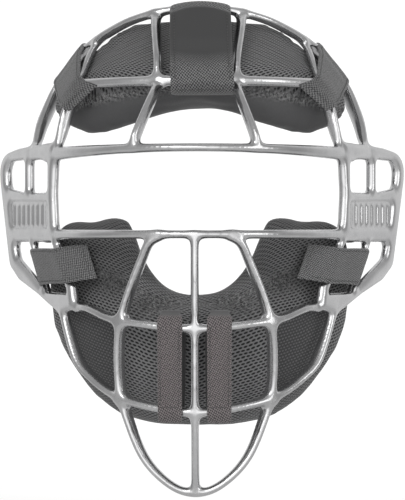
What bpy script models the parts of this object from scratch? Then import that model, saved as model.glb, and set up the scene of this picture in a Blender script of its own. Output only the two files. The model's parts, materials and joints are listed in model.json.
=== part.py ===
"""Catchers mask: a cast cage with ear guards and a throat loop, two pads and seven hook-and-loop tabs.

Metres, +Z up. The mask faces -Y. The origin lies between the wearer's eyes, at the middle of the eye port's
height and FACE_DEPTH behind the foremost bars. Outlines are given in millimetres as x (to one side), depth
(behind the foremost bars) and height (above the level 30 mm under the eye line), and at() places them.
"""

import math

import bmesh
import bpy
from mathutils import Matrix, Vector

MM = 0.001
FACE_DEPTH = 60
EYE_LINE = 30
SIDES = {"right": 1, "left": -1}
GAP = 0.3

# The cage's plan: the bars curve back from the centre, then run straight along the ear guards.
FRONT_POST_X = 75.8
FRONT_POST_DEPTH = 55
PLAN_POWER = 2.2
EAR_SLOPE = 1.57

# Bar section, across the bar and through the cage.
BAR_WIDTH = 4.6
BAR_DEPTH = 7.4
BAR_SIDES = 8
BAR_STEP = 6.5

UPPER_EYE_HEIGHT = 52
LOWER_EYE_HEIGHT = 8
BROW_HEIGHT = 88
BROW_DEPTH = 30
BROW_END_X = 64
BROW_END_DEPTH = 58
CROWN_DEPTH = 62
CROWN_HEIGHT = 128.5

PANEL_THICKNESS = 4.8
WEB_START, WEB_END = 7.2, 46.0
WEB_LOW, WEB_HIGH = 12.4, 24.7
WEB_THICKNESS = 3.0
WEB_RIB_HEIGHT = 0.8
WEB_RIBS = 6
WEB_RIB_FOOT, WEB_RIB_TOP = 1.3, 0.8

STRAP_THICKNESS = 2.2
TAB_WIDTH = 33
CHIN_TAB_WIDTH = 12.8
CHIN_TAB_X = 12.6
SIDE_TAB_WIDTH = 27
SIDE_TAB_END_WIDTH = 18
CHEEK_TAB_WIDTH = 19
HINGE_STAND_OFF = 0.6

FOREHEAD_HALF = 74
FOREHEAD_COLUMNS = 18
FOREHEAD_EDGE = 6.2
PAD_ROWS = 4
COVER = 2.2
LINER = 2.2

CAST_ALLOY = ("cast_alloy", (0.60, 0.60, 0.61), 0.35, 1.0)
PAD_MESH = ("pad_mesh", (0.09, 0.09, 0.095), 0.9, 0.0)
PAD_KNIT = ("pad_knit", (0.075, 0.075, 0.078), 0.85, 0.0)
PAD_FOAM = ("pad_foam", (0.03, 0.03, 0.03), 0.95, 0.0)
STRAP_WEB = ("strap_web", (0.10, 0.10, 0.10), 0.8, 0.0)


def clear_scene():
    for obj in list(bpy.data.objects):
        bpy.data.objects.remove(obj)


def at(x, depth, height):
    """World point from an outline's millimetres."""
    return Vector((x, depth - FACE_DEPTH, height - EYE_LINE)) * MM


def material(look):
    name, colour, roughness, metallic = look
    found = bpy.data.materials.get(name)
    if found:
        return found
    made = bpy.data.materials.new(name)
    made.use_nodes = True
    shader = made.node_tree.nodes["Principled BSDF"]
    shader.inputs["Base Color"].default_value = (*colour, 1.0)
    shader.inputs["Roughness"].default_value = roughness
    shader.inputs["Metallic"].default_value = metallic
    made.diffuse_color = (*colour, 1.0)
    return made


def add_object(name, data, look):
    obj = bpy.data.objects.new(name, data)
    bpy.context.scene.collection.objects.link(obj)
    data.materials.append(material(look))
    return obj


def add_mesh(name, bm, look, origin=None):
    """Makes bm an object, with its faces out and its origin at the given world point."""
    bmesh.ops.recalc_face_normals(bm, faces=bm.faces)
    if bm.calc_volume(signed=True) < 0:
        bmesh.ops.reverse_faces(bm, faces=bm.faces)
    if origin:
        bmesh.ops.translate(bm, verts=bm.verts, vec=-origin)
    mesh = bpy.data.meshes.new(name)
    bm.to_mesh(mesh)
    bm.free()
    mesh.shade_smooth()
    mesh.set_sharp_from_angle(angle=math.radians(40))
    obj = add_object(name, mesh, look)
    if origin:
        obj.location = origin


# ---------------------------------------------------------------- cage


def plan_depth(x, centre=0.0):
    """Depth of the cage's plan curve at x, for a bar whose middle lies at the depth centre."""
    x = abs(x)
    if x > FRONT_POST_X:
        return centre + FRONT_POST_DEPTH + EAR_SLOPE * (x - FRONT_POST_X)
    return centre + FRONT_POST_DEPTH * (x / FRONT_POST_X) ** PLAN_POWER


def outward(point):
    """The cage's outward direction at a world point, square to its plan curve."""
    x = abs(point.x) / MM
    reach = min(x / FRONT_POST_X, 1.0)
    slope = EAR_SLOPE * reach ** (PLAN_POWER - 1)
    return Vector((math.copysign(slope, point.x), -1.0, 0.0)).normalized()


def smooth_path(points, step=BAR_STEP):
    """Points about one step apart along a Catmull-Rom curve through the given world points."""
    ends = [points[0] * 2 - points[1], *points, points[-1] * 2 - points[-2]]
    path = [points[0]]
    for before, start, end, after in zip(ends, ends[1:], ends[2:], ends[3:]):
        count = max(1, round((end - start).length / MM / step))
        for i in range(1, count + 1):
            t = i / count
            path.append(
                start
                + 0.5 * t * (end - before)
                + t * t * (before - 2.5 * start + 2 * end - 0.5 * after)
                + t * t * t * 0.5 * (3 * start - before - 3 * end + after)
            )
    return path


def trimmed(path, start, end):
    """The path with a length in millimetres cut from each end."""
    for cut in (start, end):
        left = cut * MM
        while left > 0:
            first = path[1] - path[0]
            if first.length <= left + 0.4 * MM:
                left -= first.length
                path = path[1:]
            else:
                path = [path[0] + first.normalized() * left, *path[1:]]
                left = 0
        path = path[::-1]
    return path


def swept_bar(name, points, trim=(0, 0), width=BAR_WIDTH, depth=BAR_DEPTH):
    """A cast bar of elliptical section, its long axis pointing out of the cage, closed by flat ends."""
    path = trimmed(smooth_path(points), *trim)
    bm = bmesh.new()
    rings = []
    for i, point in enumerate(path):
        along = (path[min(i + 1, len(path) - 1)] - path[max(i - 1, 0)]).normalized()
        out = outward(point)
        out = (out - along * out.dot(along)).normalized()
        across = along.cross(out)
        ring = []
        for k in range(BAR_SIDES):
            turn = 2 * math.pi * (k + 0.5) / BAR_SIDES
            offset = out * (depth / 2 * math.cos(turn)) + across * (width / 2 * math.sin(turn))
            ring.append(bm.verts.new(point + offset * MM))
        rings.append(ring)
    for ring, following in zip(rings, rings[1:]):
        for k in range(BAR_SIDES):
            after = (k + 1) % BAR_SIDES
            bm.faces.new((ring[k], ring[after], following[after], following[k]))
    bm.faces.new(rings[0][::-1])
    bm.faces.new(rings[-1])
    add_mesh(name, bm, CAST_ALLOY)


def side_bars(name, points, trim=(0, 0), **section):
    """The same bar on both sides of the cage."""
    for side, sign in SIDES.items():
        placed = [at(sign * x, depth, height) for x, depth, height in points]
        swept_bar(f"{name}_{side}", placed, trim, **section)


def full_bar(name, points, trim=(0, 0), **section):
    """A bar right across the cage, from the points of its right half."""
    left = [at(-x, depth, height) for x, depth, height in points[:0:-1]]
    right = [at(x, depth, height) for x, depth, height in points]
    swept_bar(name, left + right, trim, **section)


def brow_depth(x):
    rise = BROW_END_DEPTH - BROW_DEPTH
    return BROW_DEPTH + rise * (abs(x) / BROW_END_X) ** PLAN_POWER


def eye_bar_points(height_centre, height_side):
    """Points along the right half of an eye bar, which drops or rises a little towards the ear."""
    points = []
    for x in (0, 12, 24, 36, 46, 56, 64, 70, 75):
        rise = (height_side - height_centre) * (x / FRONT_POST_X) ** 2
        points.append((x, plan_depth(x), height_centre + rise))
    return points


CROWN_END = (63, 95, 109)
CROWN_JOINT = (23.3, 64, 126.2)
BRACE_JOINT = (56.5, 87, 113)
BROW_JOINT = (20.3, 32.3, BROW_HEIGHT)
BROW_END = (BROW_END_X, BROW_END_DEPTH, BROW_HEIGHT)
CHEEK_JOINT = (38.3, 12.3, -36.5)
JAW_JOINT = (38.3, 18, -76.5)
CHIN_CENTRE = (0, 1.5, -40)
LOWER_CHIN_CENTRE = (0, 5, -82.8)
THROAT_CENTRE = (0, 12, -124.2)

CROWN = [
    (0, CROWN_DEPTH, CROWN_HEIGHT), (12, 62.5, 128), CROWN_JOINT, (37, 70, 122.5),
    (49.6, 80, 117), BRACE_JOINT, CROWN_END,
]
REAR_LEG = [CROWN_END, (72, 101, 99), (80, 102, 88), (84.7, 96, 77), (87.6, 86, 66), (89, 77, 54)]
CROWN_POST = [CROWN_JOINT, (21.8, 49, 112), (20.4, 37, 99), BROW_JOINT]
BROW_POST = [BROW_JOINT, (22.3, 24, 80), (26, 15, 70), (30, 8, 59), (31.8, 8, UPPER_EYE_HEIGHT)]
BROW_RUN = [0, 10, 20.3, 30, 40, 50, 58, BROW_END_X]
TEMPLE_BRACE = [BRACE_JOINT, (60, 76, 103), (62.5, 66, 94), BROW_END]
FRONT_LEG = [BROW_END, (68.5, 57.5, 81), (71.3, 56, 72), (73.4, 54.5, 62), (74.8, 53.5, 52)]
V_BAR = [(18, 2.5, 7.5), (23.5, 4, 3), (27.5, 6.5, -6), (33, 9.5, -20), CHEEK_JOINT]
CHEEK_BAR = [CHEEK_JOINT, (45.3, 18, -34.6), (51.4, 24, -32), (57, 30, -28.5), (64, 38, -26)]
CHIN_BAR = [CHIN_CENTRE, (10, 2, -39.7), (19.3, 4, -38.8), (29, 7.5, -37.6), CHEEK_JOINT]
CHIN_POST = [CHEEK_JOINT, (39.3, 15, -50), (39.3, 17, -63), JAW_JOINT]
LOWER_CHIN_BAR = [LOWER_CHIN_CENTRE, (10, 6, -82), (18, 8, -80.9), (28, 12, -79), JAW_JOINT]
JAW_BAR = [JAW_JOINT, (46, 24.5, -72.5), (53.5, 31, -67), (61, 37, -59.5), (66, 42, -48), (71, 47.5, -33)]
THROAT = [
    THROAT_CENTRE, (8, 12.3, -122.8), (16.4, 13, -117.5), (24.5, 14, -109), (30.5, 15.5, -98), JAW_JOINT,
]
CENTRE_BAR = [
    (0, 0, LOWER_EYE_HEIGHT), (0, 0, -10), (0, 1, -28), CHIN_CENTRE, (0, 3, -60), LOWER_CHIN_CENTRE,
    (0, 8, -104), THROAT_CENTRE,
]


def cage_bars():
    """All the cast bars outside the ear guards. Trims leave a small gap where one bar meets another."""
    full_bar("crown_bar", CROWN, trim=(1.4, 1.4))
    full_bar("forehead_bar", [(x, brow_depth(x), BROW_HEIGHT) for x in BROW_RUN], width=5.2)
    side_bars("crown_post", CROWN_POST, trim=(4.4, 3.2))
    side_bars("brow_post", BROW_POST, trim=(4.2, 4.4))
    side_bars("temple_brace", TEMPLE_BRACE, trim=(7.2, 3.6))
    side_bars("front_leg", FRONT_LEG, trim=(4.6, 6.4))
    side_bars("rear_leg", REAR_LEG, trim=(1.4, 4.6))
    full_bar("upper_eye_bar", eye_bar_points(UPPER_EYE_HEIGHT, 51), trim=(3, 3))
    full_bar("lower_eye_bar", eye_bar_points(LOWER_EYE_HEIGHT, 8), trim=(4, 4), width=4.2)
    side_bars("v_bar", V_BAR, trim=(5.6, 4.2))
    side_bars("cheek_bar", CHEEK_BAR, trim=(2.8, 4.8))
    swept_bar("centre_bar", [at(*p) for p in CENTRE_BAR], trim=(2.8, 3.6))
    side_bars("upper_chin_bar", CHIN_BAR, trim=(2.9, 3.4))
    side_bars("chin_post", CHIN_POST, trim=(2.9, 3.6))
    side_bars("lower_chin_bar", LOWER_CHIN_BAR, trim=(2.9, 3.2))
    side_bars("jaw_bar", JAW_BAR, trim=(3.6, 4.4))
    full_bar("throat_guard", THROAT, trim=(4.4, 4.4))


# ---------------------------------------------------------------- ear guards


def rounded(corners, segments=3):
    """The outline through (u, v, radius) corners, with an arc of the given radius at each."""
    outline = []
    count = len(corners)
    for i, (u, v, radius) in enumerate(corners):
        corner = Vector((u, v))
        back = (Vector(corners[i - 1][:2]) - corner).normalized()
        ahead = (Vector(corners[(i + 1) % count][:2]) - corner).normalized()
        half = math.acos(max(-1, min(1, back.dot(ahead)))) / 2
        reach = radius / math.tan(half)
        middle = corner + (back + ahead).normalized() * (radius / math.sin(half))
        start = corner + back * reach - middle
        end = corner + ahead * reach - middle
        sweep = start.angle_signed(end)
        for k in range(segments + 1):
            turn = -sweep * k / segments
            turned = Vector((
                start.x * math.cos(turn) - start.y * math.sin(turn),
                start.x * math.sin(turn) + start.y * math.cos(turn),
            ))
            outline.append(middle + turned)
    return outline


def ear_plane(sign):
    """Placement of an ear guard's plane: u runs back along the guard from the front post, v is height."""
    along = Vector((sign, EAR_SLOPE, 0)).normalized()
    placed = Matrix((along, Vector((0, 0, 1)), along.cross(Vector((0, 0, 1))))).transposed().to_4x4()
    placed.translation = at(sign * FRONT_POST_X, FRONT_POST_DEPTH, 0)
    return placed


# (u, v, corner radius)
EAR_OUTLINE = [
    (-1.5, 57.2, 1.5), (42, 56, 3), (61.5, 55, 13), (60.5, 40, 30), (54.5, 14, 30), (48.5, -8, 8),
    (38, -15.5, 8), (18.4, -22.8, 30), (4.2, -29, 12), (-8, -33.5, 12),
    (-24, -30.5, 2), (-22, -21, 3), (-3.5, 3.5, 3),
    (-1.5, 12, 8), (0.6, 30, 30), (-1.2, 47, 6),
]
EAR_WINDOWS = {
    "rear": [(32.5, 49, 3.5), (56.5, 48.5, 7), (54.5, 33.5, 5), (32.5, 30.5, 3)],
    "front": [(5.6, 48, 3.5), (28.1, 49, 3.5), (28.1, 30.5, 3.5), (5.9, 30.5, 3.5)],
    "web": [(6.2, 25.5, 2), (50.5, 26.5, 3), (47.5, 12, 4), (6.2, 11.5, 2)],
    "lower_rear": [(27.5, 4.5, 2), (46.5, 4.5, 3), (43, -4.5, 6), (30, -11.2, 4), (11.5, -20.8, 1)],
    "lower_front": [(1.2, 4.5, 2), (24.7, 4.5, 2), (8.3, -20.8, 2.5), (-13, -20.8, 3)],
}


def panel(outlines, thickness):
    """A flat plate of the first outline, with the others as windows, centred on its own plane."""
    bm = bmesh.new()
    for outline in outlines:
        verts = [bm.verts.new((place.x * MM, place.y * MM, -thickness / 2 * MM)) for place in outline]
        for vert, following in zip(verts, verts[1:] + verts[:1]):
            bm.edges.new((vert, following))
    bmesh.ops.triangle_fill(bm, edges=bm.edges, use_beauty=True, normal=(0, 0, 1))
    raised = bmesh.ops.extrude_face_region(bm, geom=list(bm.faces), use_keep_orig=True)
    top = [item for item in raised["geom"] if isinstance(item, bmesh.types.BMVert)]
    bmesh.ops.translate(bm, verts=top, vec=(0, 0, thickness * MM))
    return bm


def ear_guards():
    """Flat castings behind the front posts, with windows, posts, rails and a gusset."""
    for side, sign in SIDES.items():
        outlines = [rounded(corners) for corners in (EAR_OUTLINE, *EAR_WINDOWS.values())]
        bm = panel(outlines, PANEL_THICKNESS)
        bm.transform(ear_plane(sign))
        add_mesh(f"ear_guard_{side}", bm, CAST_ALLOY)


def web_profile(start, end):
    """(u, thickness) outline of a web plate with raised ribs on its outer face."""
    half = WEB_THICKNESS / 2
    pitch = (end - start) / (WEB_RIBS + 1)
    profile = [(start, -half), (end, -half), (end, half)]
    for i in range(WEB_RIBS, 0, -1):
        middle = start + pitch * i
        profile.append((middle + WEB_RIB_FOOT, half))
        profile.append((middle + WEB_RIB_TOP, half + WEB_RIB_HEIGHT))
        profile.append((middle - WEB_RIB_TOP, half + WEB_RIB_HEIGHT))
        profile.append((middle - WEB_RIB_FOOT, half))
    profile.append((start, half))
    return profile


def ear_webs():
    """Ribbed plates that close the lower part of each ear guard."""
    for side, sign in SIDES.items():
        profile = web_profile(WEB_START, WEB_END)
        bm = bmesh.new()
        rings = []
        for v in (WEB_LOW, WEB_HIGH):
            rings.append([bm.verts.new((u * MM, v * MM, sign * w * MM)) for u, w in profile])
        for k in range(len(profile)):
            after = (k + 1) % len(profile)
            bm.faces.new((rings[0][k], rings[0][after], rings[1][after], rings[1][k]))
        bm.faces.new(rings[0])
        bm.faces.new(rings[1])
        bm.transform(ear_plane(sign))
        add_mesh(f"ear_web_{side}", bm, CAST_ALLOY)


# ---------------------------------------------------------------- pads


def forehead_front(x, height):
    """Depth of the forehead pad's front: behind the forehead bar, then leaning back to the crown bar."""
    reach = min(1.1, abs(x) / 60) ** 3
    lean = 0.42 * max(0.0, height - 90 + 6 * reach) ** 1.25 * (1 + 1.3 * reach)
    front = 36.0 + 27.0 * (abs(x) / 64) ** 2.1 + lean
    return min(front, forehead_back(x, height) - FOREHEAD_EDGE)


def forehead_back(x, height):
    lean = max(0.0, height - 80) * 0.24
    return 66.0 + 24.0 * (abs(x) / 66) ** 2.0 + lean


def forehead_rows(x):
    """Lower and upper height of the forehead pad at x."""
    reach = min(1.0, abs(x) / 74)
    low = 73.5 - 11.5 * math.sin(min(1, reach / 0.8) * math.pi / 2) ** 2
    low += 5.0 * max(0, reach - 0.85) / 0.15
    high = 121.5 - 0.0042 * x * x - 12.0 * max(0, reach - 0.72) / 0.28
    return low, high


def layer(name, look, front, back):
    """A closed layer of a pad from its two faces, each a grid of world points."""
    bm = bmesh.new()
    a, b = ([[bm.verts.new(point) for point in line] for line in face] for face in (front, back))
    last, across = len(a) - 1, len(a[0]) - 1
    for grid in (a, b):
        for c in range(last):
            for r in range(across):
                bm.faces.new((grid[c][r], grid[c + 1][r], grid[c + 1][r + 1], grid[c][r + 1]))
    for c in range(last):
        for r in (0, across):
            bm.faces.new((a[c][r], a[c + 1][r], b[c + 1][r], b[c][r]))
    for r in range(across):
        for c in (0, last):
            bm.faces.new((a[c][r], a[c][r + 1], b[c][r + 1], b[c][r]))
    add_mesh(name, bm, look)


def pad_layers(name, spots, front, back):
    """Cover, foam core and face-side liner over one grid of (x, height) spots, one behind the other."""
    def face(depth, shift):
        return [[at(x, depth(x, height) + shift, height) for x, height in line] for line in spots]

    layer(f"{name}_cover", PAD_MESH, face(front, 0), face(front, COVER))
    layer(f"{name}_foam", PAD_FOAM, face(front, COVER + GAP), face(back, -LINER - GAP))
    layer(f"{name}_liner", PAD_KNIT, face(back, -LINER), face(back, 0))


def forehead_pad():
    spots = []
    for c in range(FOREHEAD_COLUMNS + 1):
        x = FOREHEAD_HALF * (2 * c / FOREHEAD_COLUMNS - 1)
        low, high = forehead_rows(x)
        spots.append([(x, low + (high - low) * r / PAD_ROWS) for r in range(PAD_ROWS + 1)])
    pad_layers("forehead_pad", spots, forehead_front, forehead_back)


# (x, height) pairs along the right half of the U-shaped chin pad, from under the chin up to the cheek.
CHIN_INNER = [
    (0, -22), (12, -19.8), (22, -13.5), (28, -6.5), (32.5, 1), (40, 10.5), (49, 15.5), (60, 14), (70, 12.5),
]
CHIN_OUTER = [
    (0, -90), (19.5, -90), (36.5, -88), (50, -80), (63, -67), (72, -54), (78.5, -40), (80.5, -22), (79, 4),
]


def chin_front(x, height):
    """Depth of the chin pad's front, behind the chin bars in the middle and the ear guards at the sides."""
    return 19.5 + 45.5 * (abs(x) / 77) ** 2.0 + 0.05 * max(0.0, -60 - height)


def chin_back(x, height):
    cup = 10.0 * max(0.0, (-40 - height) / 50)
    return 50.0 + 44.0 * (abs(x) / 80) ** 1.6 + cup


def chin_pad():
    pairs = list(zip(CHIN_INNER, CHIN_OUTER))
    mirrored = [((-a[0], a[1]), (-b[0], b[1])) for a, b in pairs[:0:-1]]
    spots = []
    for inner, outer in mirrored + pairs:
        line = []
        for r in range(PAD_ROWS + 1):
            spot = Vector(inner).lerp(Vector(outer), r / PAD_ROWS)
            line.append((spot.x, spot.y))
        spots.append(line)
    pad_layers("chin_pad", spots, chin_front, chin_back)


# ---------------------------------------------------------------- tabs


def strap(name, path, axis, widths, origin=None):
    """A flat strap with cross lines along the axis, thickened to the outside of its inner face's path."""
    bm = bmesh.new()
    lines = []
    for i, point in enumerate(path):
        leans = []
        if i:
            leans.append(axis.cross(point - path[i - 1]).normalized())
        if i + 1 < len(path):
            leans.append(axis.cross(path[i + 1] - point).normalized())
        lean = sum(leans, Vector()).normalized()
        lean *= STRAP_THICKNESS / max(0.5, lean.dot(leans[0])) * MM
        half = axis * widths[i] / 2 * MM
        corners = (point - half, point + half, point + half + lean, point - half + lean)
        lines.append([bm.verts.new(corner) for corner in corners])
    for line, following in zip(lines, lines[1:]):
        for k in range(4):
            after = (k + 1) % 4
            bm.faces.new((line[k], line[after], following[after], following[k]))
    bm.faces.new(lines[0][::-1])
    bm.faces.new(lines[-1])
    add_mesh(name, bm, STRAP_WEB, origin)


def tab(name, axis, root, flap, root_widths, flap_widths):
    """A root that stays with its pad, and a flap that turns on its fold line.

    The fold line stands a little off the strap's outer face, half-way between the pieces, so that the flap
    can fold right back over the root.
    """
    axis = axis.normalized()
    along = (flap[0] - root[-1]).normalized()
    out = axis.cross(along).normalized()
    hinge = (root[-1] + flap[0]) / 2 + out * (STRAP_THICKNESS + HINGE_STAND_OFF) * MM
    strap(f"{name}_root", root, axis, root_widths)
    strap(f"{name}_flap", flap, axis, flap_widths, hinge)


def arc(centre, radius, start, end, back, up, count=4):
    """World points round a centre, from the angle start to the angle end, counted from back towards up."""
    points = []
    for i in range(count + 1):
        turn = math.radians(start + (end - start) * i / count)
        points.append(centre + (back * math.cos(turn) + up * math.sin(turn)) * radius * MM)
    return points


def forehead_centre_tab():
    """Rises behind the pad, folds over the crown bar and is tucked under the forehead bar."""
    centre, radius = at(0, 62.3, 128.0), 4.5
    back, up = Vector((0, 1, 0)), Vector((0, 0, 1))
    root = [at(0, 76.2, 111), at(0, 78.4, 120.8), *arc(centre, radius, 15, 126, back, up)]
    flap = arc(centre, radius, 134, 150, back, up, 1)
    flap += [at(0, 25.6, 92), at(0, 25.6, 87), at(0, 28.3, 84.8), at(0, 33.4, 82.2)]
    widths = [TAB_WIDTH] * 8
    tab("forehead_centre_tab", Vector((-1, 0, 0)), root, flap, widths, widths)


def chin_tabs():
    """Come forward from the pad, fold over the upper chin bar and are tucked under the lower one."""
    back, up = Vector((0, 1, 0)), Vector((0, 0, 1))
    for side, sign in SIDES.items():
        x = sign * CHIN_TAB_X
        centre, radius = at(x, 2.3, -39.4), 4.7
        root = [at(x, 19.0, -33.6), at(x, 10, -33.6), *arc(centre, radius, 62, 131, back, up, 3)]
        flap = arc(centre, radius, 139, 175, back, up, 2)
        flap += [at(x, 1.2, -78), at(x, 1.2, -83), at(x, 3, -86.4), at(x, 8, -85.8), at(x, 12.4, -84.4)]
        widths = [CHIN_TAB_WIDTH] * 8
        tab(f"chin_tab_{side}", Vector((-1, 0, 0)), root, flap, widths, widths)


def side_tab(name, axis, root, flap, root_widths, flap_widths):
    """A right-hand tab and its mirror image, whose axis turns its flap outwards for the same turn."""
    tab(f"{name}_right", axis, root, flap, root_widths, flap_widths)
    root, flap = ([Vector((-p.x, p.y, p.z)) for p in path] for path in (root, flap))
    axis = Vector((axis.x, -axis.y, -axis.z))
    tab(f"{name}_left", axis, root, flap, root_widths, flap_widths)


def forehead_side_tabs():
    """Come from behind the pad's end, fold round the rear leg's top and cross in front of the front leg."""
    axis = Vector((-17, -7, 21)).normalized()
    back = Vector((0, 1, 0))
    back = (back - axis * axis.dot(back)).normalized()
    out = -axis.cross(back)
    centre, radius = at(71.8, 99.6, 98.8), 6.6
    root = [at(62.5, 99.5, 94), *arc(centre, radius, 10, 88, back, out)]
    flap = arc(centre, radius, 95, 125, back, out, 2)
    flap += [at(67.5, 47.5, 87.5), at(64.5, 45.8, 84), at(59.5, 46, 79.5)]
    wide = SIDE_TAB_WIDTH
    flap_widths = [wide, wide, wide, wide - 3, wide - 5, SIDE_TAB_END_WIDTH]
    side_tab("forehead_side_tab", axis, root, flap, [wide] * len(root), flap_widths)


def cheek_tabs():
    """Come out through the ear guard, fold round its rear lower post and lie on the pad."""
    plane = ear_plane(1)
    axis = (plane.to_3x3() @ Vector((16.4, 25.3, 0))).normalized()
    off_face = PANEL_THICKNESS / 2 + 0.7

    def beside(u, v, off):
        return plane @ Vector((u * MM, v * MM, off * MM))

    root = [at(86, 86, -10)]
    root += [beside(u, -9, off) for u, off in ((21.4, -4), (20.1, -2.5), (20.1, 1.8), (19.2, off_face))]
    flap = [beside(u, v, off_face) for u, v in ((18.1, -9), (9, -8.8), (-14, -8.3))]
    flap += [at(62, 38.5, -7), at(55, 38.5, -6.2)]
    wide = CHEEK_TAB_WIDTH
    side_tab("cheek_tab", axis, root, flap, [wide - 2] * len(root), [wide - 1, wide, wide, wide, wide])


def main():
    clear_scene()
    cage_bars()
    ear_guards()
    ear_webs()
    forehead_pad()
    chin_pad()
    forehead_centre_tab()
    forehead_side_tabs()
    cheek_tabs()
    chin_tabs()


main()
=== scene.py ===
"""Catchers mask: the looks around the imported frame.

Shapes are worked out in the mask's own millimetres, as (x, depth behind the foremost bars, height), and
placed() turns them into metres in the frame.
"""

import json
import math

import bmesh
import bpy
import numpy as np
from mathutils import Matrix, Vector

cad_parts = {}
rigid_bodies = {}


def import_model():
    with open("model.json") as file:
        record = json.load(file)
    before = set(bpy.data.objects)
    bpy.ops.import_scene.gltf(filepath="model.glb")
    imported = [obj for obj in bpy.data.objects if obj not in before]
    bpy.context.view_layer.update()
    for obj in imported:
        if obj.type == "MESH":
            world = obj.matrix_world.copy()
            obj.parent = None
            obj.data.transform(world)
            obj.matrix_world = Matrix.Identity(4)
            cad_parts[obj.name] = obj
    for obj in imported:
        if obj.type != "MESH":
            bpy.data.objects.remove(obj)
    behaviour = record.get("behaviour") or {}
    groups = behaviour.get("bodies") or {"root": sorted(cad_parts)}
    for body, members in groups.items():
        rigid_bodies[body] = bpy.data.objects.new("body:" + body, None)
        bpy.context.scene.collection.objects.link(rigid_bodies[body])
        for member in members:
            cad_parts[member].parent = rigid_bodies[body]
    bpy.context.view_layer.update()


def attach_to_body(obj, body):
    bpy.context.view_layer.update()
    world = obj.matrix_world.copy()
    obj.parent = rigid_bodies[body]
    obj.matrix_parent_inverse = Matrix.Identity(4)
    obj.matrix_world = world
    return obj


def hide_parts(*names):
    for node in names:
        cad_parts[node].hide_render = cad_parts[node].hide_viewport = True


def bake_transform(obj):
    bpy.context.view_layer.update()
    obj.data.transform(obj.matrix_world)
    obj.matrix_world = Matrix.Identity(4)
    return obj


MM = 0.001
# the frame's origin, as depth and height in the mask's own millimetres
FACE_DEPTH, EYE_LINE = 60, 30
SIDES = (("right", 1), ("left", -1))


def placed(points):
    """Metres in the frame from rows of (x, depth, height) in millimetres."""
    return (np.asarray(points, float) - (0, FACE_DEPTH, EYE_LINE)) * MM


def linked(name, data):
    """A new object in the scene."""
    obj = bpy.data.objects.new(name, data)
    bpy.context.scene.collection.objects.link(obj)
    return obj


def tube_faces(rings, around, base=0):
    """Faces of a closed tube whose points are stored ring after ring, with a cap at each end."""
    faces = []
    for i in range(rings - 1):
        here, following = base + i * around, base + (i + 1) * around
        for k in range(around):
            after = (k + 1) % around
            faces.append((here + k, here + after, following + after, following + k))
    last = base + (rings - 1) * around
    faces.append(tuple(range(base, base + around))[::-1])
    faces.append(tuple(range(last, last + around)))
    return faces


def closed_mesh(name, points, faces):
    """A mesh from points in millimetres, with its faces turned outwards."""
    mesh = bpy.data.meshes.new(name)
    mesh.from_pydata([tuple(p) for p in placed(points)], [], faces)
    bm = bmesh.new()
    bm.from_mesh(mesh)
    bmesh.ops.recalc_face_normals(bm, faces=bm.faces)
    bm.to_mesh(mesh)
    bm.free()
    return mesh


# ---------------------------------------------------------------- nodes


def grey(level, blue=None):
    return (level, level, level if blue is None else blue, 1)


class Nodes:
    """A node tree, with short ways to add the nodes that the looks here are made of."""

    def __init__(self, tree):
        self.all, self.links = tree.nodes, tree.links

    def put(self, socket, value):
        """Links a socket to another node's output, or sets its value."""
        if isinstance(value, bpy.types.NodeSocket):
            self.links.new(value, socket)
        else:
            socket.default_value = value

    def add(self, kind, inputs=None, **settings):
        node = self.all.new(f"ShaderNode{kind}")
        for name, value in settings.items():
            setattr(node, name, value)
        for name, value in (inputs or {}).items():
            self.put(node.inputs[name], value)
        return node

    def run(self, operation, *values):
        """A math node's result."""
        return self.add("Math", dict(enumerate(values)), operation=operation).outputs["Value"]

    def clamped(self, value):
        return self.run("MAXIMUM", self.run("MINIMUM", value, 1.0), 0.0)

    def vector(self, operation, inputs, output="Vector"):
        return self.add("VectorMath", inputs, operation=operation).outputs[output]

    def mapped(self, value, ends, **settings):
        """A value mapped from one range to another: ends names the sockets that differ from 0 and 1."""
        return self.add("MapRange", {"Value": value, **ends}, **settings).outputs["Result"]

    def stored(self, name, output="Fac"):
        """What the mesh holds at each point under a name."""
        return self.add("Attribute", attribute_name=name).outputs[output]

    def place(self):
        return self.add("TexCoord").outputs["Object"]

    def noise(self, place, scale, detail=2.0, roughness=0.5):
        inputs = {"Vector": place, "Scale": scale, "Detail": detail, "Roughness": roughness}
        return self.add("TexNoise", inputs).outputs["Fac"]

    def mix(self, share, first, second, kind="RGBA"):
        """Two colours, or two numbers, mixed by a share."""
        index, output = {"RGBA": (6, 2), "FLOAT": (2, 0)}[kind]
        node = self.add("Mix", data_type=kind)
        for socket, value in ((0, share), (index, first), (index + 1, second)):
            self.put(node.inputs[socket], value)
        return node.outputs[output]

    def ramp(self, share, stops):
        """A colour ramp through (position, colour) stops."""
        node = self.add("ValToRGB", {"Fac": share})
        elements = node.color_ramp.elements
        for element, (position, colour) in zip(elements, (stops[0], stops[-1])):
            element.position, element.color = position, colour
        for position, colour in stops[1:-1]:
            elements.new(position).color = colour
        return node.outputs["Color"]

    def bump(self, height, strength, distance):
        inputs = {"Height": height, "Strength": strength, "Distance": distance}
        return self.add("Bump", inputs).outputs["Normal"]


def new_material(name, values):
    """A material, its nodes and its shader's sockets, with the given values set on them."""
    made = bpy.data.materials.new(name)
    made.use_nodes = True
    nodes = Nodes(made.node_tree)
    shader = nodes.all["Principled BSDF"]
    for socket, value in values.items():
        shader.inputs[socket].default_value = value
    return made, nodes, shader


# ---------------------------------------------------------------- camera, light and floor

FOREMOST_DISTANCE = 1250.0
VIEW_TURN = math.radians(1.85)
MM_PER_PIXEL = 0.507
LONG_SIDE_PIXELS = 500
EAR_DEPTH = 100.0
AIM_X = 0.75
SENSOR_WIDTH = 36
# (name, place, (width, height), power)
LIGHTS = [("key", (-0.5, -1.6, 0.9), (0.9, 0.9), 6), ("fill", (1.3, -0.9, 0.3), (0.6, 1.2), 3)]
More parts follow.
